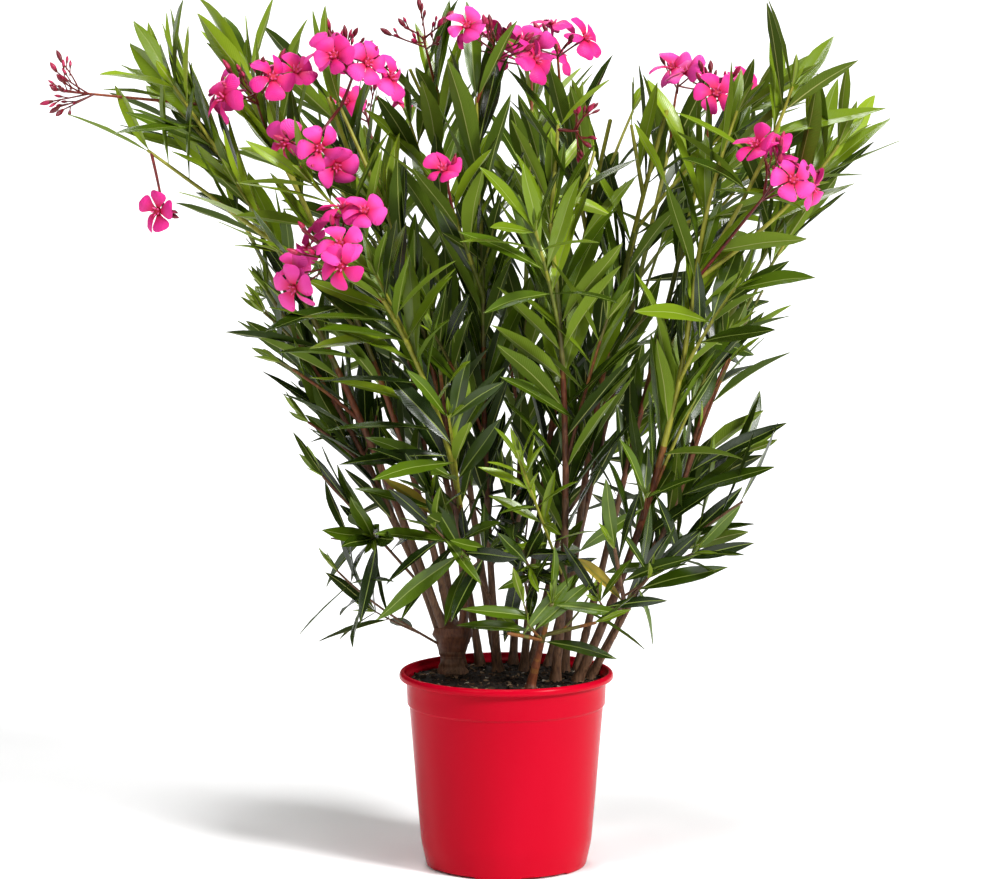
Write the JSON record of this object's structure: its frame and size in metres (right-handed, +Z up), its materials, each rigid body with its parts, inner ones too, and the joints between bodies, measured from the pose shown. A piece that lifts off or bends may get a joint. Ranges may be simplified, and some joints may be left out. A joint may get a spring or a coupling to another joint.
{
  "type": "potted oleander shrub",
  "caption": "Young flowering oleander: a stump and many slim canes that fan out into leafy shoots with pink blossom, growing in a plain round nursery pot.",
  "frame": {"origin": "middle of the pot's flat underside", "axes": "+Z up along the pot's axis, -Y towards the front of the crown, +X to the right seen from the front"},
  "size_m": [0.9413, 0.6453, 0.983],
  "materials": {
    "pot": "gloss",
    "soil": "matte",
    "bark": "matte",
    "foliage": "satin",
    "blossom": "satin"
  },
  "bodies": {
    "root": {"cane_back_left": "bark", "cane_back_low": "bark", "cane_back_mid": "bark", "cane_back_out": "bark", "cane_back_right": "bark", "cane_centre": "bark", "cane_far_right": "bark", "cane_front": "bark", "cane_left_back": "bark", "cane_left_front": "bark", "cane_left_high": "bark", "cane_left_inner": "bark", "cane_left_low": "bark", "cane_left_mid": "bark", "cane_low_front": "bark", "cane_right": "bark", "cane_right_bloom": "bark", "cane_right_lean": "bark", "cane_right_low": "bark", "cane_top_mid": "bark", "cane_top_right": "bark", "foliage_back_left": "foliage", "foliage_back_low": "foliage", "foliage_back_mid": "foliage", "foliage_back_out": "foliage", "foliage_back_right": "foliage", "foliage_centre": "foliage", "foliage_far_right": "foliage", "foliage_front": "foliage", "foliage_left_back": "foliage", "foliage_left_front": "foliage", "foliage_left_high": "foliage", "foliage_left_inner": "foliage", "foliage_left_low": "foliage", "foliage_left_mid": "foliage", "foliage_low_centre": "foliage", "foliage_low_front": "foliage", "foliage_low_left": "foliage", "foliage_low_mid": "foliage", "foliage_low_right": "foliage", "foliage_right": "foliage", "foliage_right_bloom": "foliage", "foliage_right_lean": "foliage", "foliage_right_low": "foliage", "foliage_top_mid": "foliage", "foliage_top_right": "foliage", "foliage_whip": "foliage", "foliage_young": "foliage", "pot": "pot", "soil": "soil", "stump": "bark"}
  },
  "joints": []
}
